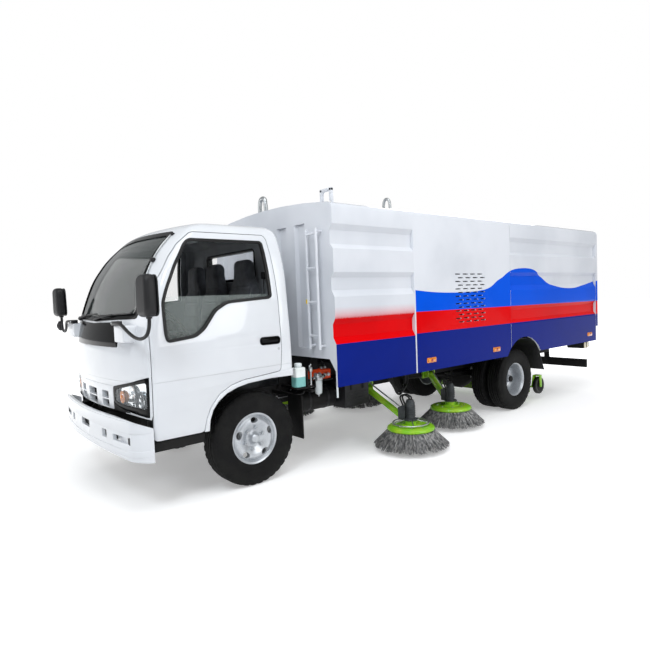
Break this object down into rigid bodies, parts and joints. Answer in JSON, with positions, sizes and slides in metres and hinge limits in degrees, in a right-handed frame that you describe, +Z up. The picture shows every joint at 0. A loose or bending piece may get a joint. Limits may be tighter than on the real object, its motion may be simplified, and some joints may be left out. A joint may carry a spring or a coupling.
{
  "type": "street cleaning truck",
  "caption": "Forward-control street cleaning truck with tilting cab, water tank, louvred engine bay, tipping waste hopper, four side brushes and suction nozzle.",
  "frame": {"origin": "bottom centre of the bounding box, on the ground under the middle of the vehicle", "axes": "+Z up, -Y forward, +X to the vehicle's left, +Y to its tail"},
  "size_m": [2.86, 6.931, 2.5942],
  "materials": {
    "white_paint": "gloss coach paint, white with red and blue bands",
    "frame_black": "satin chassis paint",
    "machine_grey": "satin machinery paint",
    "lime_paint": "gloss enamel",
    "silver_paint": "silver wheel enamel",
    "tyre_rubber": "moulded rubber",
    "soft_rubber": "moulded rubber",
    "plastic_black": "grained moulding",
    "lamp_clear": "clear lens over a chromed bowl",
    "window_glass": "lightly tinted glass",
    "seat_cloth": "woven cloth"
  },
  "bodies": {
    "chassis": {"chassis_frame": "frame_black", "subframe": "lime_paint", "engine_gearbox": "machine_grey", "front_axle": "frame_black", "rear_axle": "frame_black", "fuel_tank": "frame_black", "service_rack": "machine_grey", "front_bumper": "white_paint", "mudguard_left": "plastic_black", "mudguard_right": "plastic_black", "water_tank": "white_paint", "engine_bay": "white_paint", "auxiliary_engine": "machine_grey"},
    "cab": {"cab_shell": "white_paint", "windscreen": "window_glass", "rear_window": "window_glass", "grille_panel": "plastic_black", "headlamp_left": "lamp_clear", "headlamp_right": "lamp_clear", "dashboard": "plastic_black", "seats": "seat_cloth", "mirror_left": "plastic_black", "mirror_right": "plastic_black"},
    "door_left_body": {"door_left": "white_paint", "door_glass_left": "window_glass"},
    "steering_left": {"knuckle_left": "frame_black"},
    "front_wheel_left": {"front_rim_left": "silver_paint", "front_tyre_left": "tyre_rubber"},
    "rear_wheels_left": {"rear_rims_left": "silver_paint", "rear_tyre_outer_left": "tyre_rubber", "rear_tyre_inner_left": "tyre_rubber"},
    "brush_arm_front_left_body": {"brush_arm_front_left": "lime_paint"},
    "brush_link_front_left_body": {"brush_link_front_left": "machine_grey"},
    "brush_head_front_left_body": {"brush_head_front_left": "machine_grey"},
    "brush_disc_front_left_body": {"brush_disc_front_left": "lime_paint"},
    "brush_arm_rear_left_body": {"brush_arm_rear_left": "lime_paint"},
    "brush_link_rear_left_body": {"brush_link_rear_left": "machine_grey"},
    "brush_head_rear_left_body": {"brush_head_rear_left": "machine_grey"},
    "brush_disc_rear_left_body": {"brush_disc_rear_left": "lime_paint"},
    "nozzle_caster_left": {"nozzle_wheel_left": "soft_rubber"},
    "door_right_body": {"door_right": "white_paint", "door_glass_right": "window_glass"},
    "steering_right": {"knuckle_right": "frame_black"},
    "front_wheel_right": {"front_rim_right": "silver_paint", "front_tyre_right": "tyre_rubber"},
    "rear_wheels_right": {"rear_rims_right": "silver_paint", "rear_tyre_outer_right": "tyre_rubber", "rear_tyre_inner_right": "tyre_rubber"},
    "brush_arm_front_right_body": {"brush_arm_front_right": "lime_paint"},
    "brush_link_front_right_body": {"brush_link_front_right": "machine_grey"},
    "brush_head_front_right_body": {"brush_head_front_right": "machine_grey"},
    "brush_disc_front_right_body": {"brush_disc_front_right": "lime_paint"},
    "brush_arm_rear_right_body": {"brush_arm_rear_right": "lime_paint"},
    "brush_link_rear_right_body": {"brush_link_rear_right": "machine_grey"},
    "brush_head_rear_right_body": {"brush_head_rear_right": "machine_grey"},
    "brush_disc_rear_right_body": {"brush_disc_rear_right": "lime_paint"},
    "nozzle_caster_right": {"nozzle_wheel_right": "soft_rubber"},
    "hopper_body": {"hopper": "white_paint"},
    "tail_door_body": {"rear_door": "white_paint"},
    "nozzle": {"suction_nozzle": "lime_paint"}
  },
  "joints": [
    {"name": "steer_left", "type": "hinge", "parent": "chassis", "child": "steering_left", "pos_m": [0.624, -2.3855, 0.3875], "axis": [0, 0, 1], "range_deg": [-32, 32]},
    {"name": "front_wheel_left_spin", "type": "hinge", "parent": "steering_left", "child": "front_wheel_left", "pos_m": [0.752, -2.3855, 0.3875], "axis": [1, 0, 0], "continuous": true},
    {"name": "rear_wheels_left_spin", "type": "hinge", "parent": "chassis", "child": "rear_wheels_left", "pos_m": [0.7125, 1.4295, 0.3875], "axis": [1, 0, 0], "continuous": true},
    {"name": "steer_right", "type": "hinge", "parent": "chassis", "child": "steering_right", "pos_m": [-0.624, -2.3855, 0.3875], "axis": [0, 0, 1], "range_deg": [-32, 32]},
    {"name": "front_wheel_right_spin", "type": "hinge", "parent": "steering_right", "child": "front_wheel_right", "pos_m": [-0.752, -2.3855, 0.3875], "axis": [1, 0, 0], "continuous": true},
    {"name": "rear_wheels_right_spin", "type": "hinge", "parent": "chassis", "child": "rear_wheels_right", "pos_m": [-0.7125, 1.4295, 0.3875], "axis": [1, 0, 0], "continuous": true},
    {"name": "cab_tilt", "type": "hinge", "parent": "chassis", "child": "cab", "pos_m": [0, -3.3955, 0.56], "axis": [1, 0, 0], "range_deg": [0, 42]},
    {"name": "door_left_swing", "type": "hinge", "parent": "cab", "child": "door_left_body", "pos_m": [0.921, -3.2385, 1.1], "axis": [0, 0, -1], "range_deg": [0, 65]},
    {"name": "door_right_swing", "type": "hinge", "parent": "cab", "child": "door_right_body", "pos_m": [-0.921, -3.2385, 1.1], "axis": [0, 0, 1], "range_deg": [0, 65]},
    {"name": "hopper_tip", "type": "hinge", "parent": "chassis", "child": "hopper_body", "pos_m": [0, 3.3745, 0.9], "axis": [-1, 0, 0], "range_deg": [0, 45]},
    {"name": "tail_door_open", "type": "hinge", "parent": "hopper_body", "child": "tail_door_body", "pos_m": [0, 3.3605, 2.437], "axis": [1, 0, 0], "range_deg": [0, 80]},
    {"name": "brush_lift_front_left", "type": "hinge", "parent": "chassis", "child": "brush_arm_front_left_body", "pos_m": [0.57686, -0.83802, 0.545], "axis": [0.165, -0.9863, 0], "range_deg": [-4.5, 22]},
    {"name": "brush_link_front_left_swing", "type": "hinge", "parent": "chassis", "child": "brush_link_front_left_body", "pos_m": [0.57686, -0.83802, 0.625], "axis": [0.165, -0.9863, 0], "range_deg": [-4.5, 22]},
    {"name": "brush_level_front_left", "type": "hinge", "parent": "brush_arm_front_left_body", "child": "brush_head_front_left_body", "pos_m": [0.97631, -0.77118, 0.31], "axis": [0.165, -0.9863, 0], "range_deg": [-22, 4.5]},
    {"name": "brush_spin_front_left", "type": "hinge", "parent": "brush_head_front_left_body", "child": "brush_disc_front_left_body", "pos_m": [1.07, -0.7555, 0.28], "axis": [0, 0, 1], "continuous": true},
    {"name": "brush_lift_front_right", "type": "hinge", "parent": "chassis", "child": "brush_arm_front_right_body", "pos_m": [-0.57686, -0.83802, 0.545], "axis": [0.165, 0.9863, 0], "range_deg": [-4.5, 22]},
    {"name": "brush_link_front_right_swing", "type": "hinge", "parent": "chassis", "child": "brush_link_front_right_body", "pos_m": [-0.57686, -0.83802, 0.625], "axis": [0.165, 0.9863, 0], "range_deg": [-4.5, 22]},
    {"name": "brush_level_front_right", "type": "hinge", "parent": "brush_arm_front_right_body", "child": "brush_head_front_right_body", "pos_m": [-0.97631, -0.77118, 0.31], "axis": [0.165, 0.9863, 0], "range_deg": [-22, 4.5]},
    {"name": "brush_spin_front_right", "type": "hinge", "parent": "brush_head_front_right_body", "child": "brush_disc_front_right_body", "pos_m": [-1.07, -0.7555, 0.28], "axis": [0, 0, 1], "continuous": true},
    {"name": "brush_lift_rear_left", "type": "hinge", "parent": "chassis", "child": "brush_arm_rear_left_body", "pos_m": [0.43971, 0.33104, 0.545], "axis": [-0.2588, -0.9659, 0], "range_deg": [-6.5, 25]},
    {"name": "brush_link_rear_left_swing", "type": "hinge", "parent": "chassis", "child": "brush_link_rear_left_body", "pos_m": [0.43971, 0.33104, 0.625], "axis": [-0.2588, -0.9659, 0], "range_deg": [-6.5, 25]},
    {"name": "brush_level_rear_left", "type": "hinge", "parent": "brush_arm_rear_left_body", "child": "brush_head_rear_left_body", "pos_m": [0.70824, 0.25909, 0.31], "axis": [-0.2588, -0.9659, 0], "range_deg": [-25, 6.5]},
    {"name": "brush_spin_rear_left", "type": "hinge", "parent": "brush_head_rear_left_body", "child": "brush_disc_rear_left_body", "pos_m": [0.8, 0.2345, 0.28], "axis": [0, 0, 1], "continuous": true},
    {"name": "brush_lift_rear_right", "type": "hinge", "parent": "chassis", "child": "brush_arm_rear_right_body", "pos_m": [-0.43971, 0.33104, 0.545], "axis": [-0.2588, 0.9659, 0], "range_deg": [-6.5, 25]},
    {"name": "brush_link_rear_right_swing", "type": "hinge", "parent": "chassis", "child": "brush_link_rear_right_body", "pos_m": [-0.43971, 0.33104, 0.625], "axis": [-0.2588, 0.9659, 0], "range_deg": [-6.5, 25]},
    {"name": "brush_level_rear_right", "type": "hinge", "parent": "brush_arm_rear_right_body", "child": "brush_head_rear_right_body", "pos_m": [-0.70824, 0.25909, 0.31], "axis": [-0.2588, 0.9659, 0], "range_deg": [-25, 6.5]},
    {"name": "brush_spin_rear_right", "type": "hinge", "parent": "brush_head_rear_right_body", "child": "brush_disc_rear_right_body", "pos_m": [-0.8, 0.2345, 0.28], "axis": [0, 0, 1], "continuous": true},
    {"name": "nozzle_lift", "type": "hinge", "parent": "chassis", "child": "nozzle", "pos_m": [0, 1.7345, 0.5], "axis": [1, 0, 0], "range_deg": [-9.5, 0]},
    {"name": "nozzle_caster_left_spin", "type": "hinge", "parent": "nozzle", "child": "nozzle_caster_left", "pos_m": [0.8, 2.1845, 0.2], "axis": [1, 0, 0], "continuous": true},
    {"name": "nozzle_caster_right_spin", "type": "hinge", "parent": "nozzle", "child": "nozzle_caster_right", "pos_m": [-0.8, 2.1845, 0.2], "axis": [1, 0, 0], "continuous": true}
  ],
  "couplings": [
    {"joint": "steer_right", "follows": "steer_left", "ratio": 1},
    {"joint": "brush_link_front_left_swing", "follows": "brush_lift_front_left", "ratio": 1},
    {"joint": "brush_level_front_left", "follows": "brush_lift_front_left", "ratio": -1},
    {"joint": "brush_link_front_right_swing", "follows": "brush_lift_front_right", "ratio": 1},
    {"joint": "brush_level_front_right", "follows": "brush_lift_front_right", "ratio": -1},
    {"joint": "brush_link_rear_left_swing", "follows": "brush_lift_rear_left", "ratio": 1},
    {"joint": "brush_level_rear_left", "follows": "brush_lift_rear_left", "ratio": -1},
    {"joint": "brush_link_rear_right_swing", "follows": "brush_lift_rear_right", "ratio": 1},
    {"joint": "brush_level_rear_right", "follows": "brush_lift_rear_right", "ratio": -1}
  ]
}
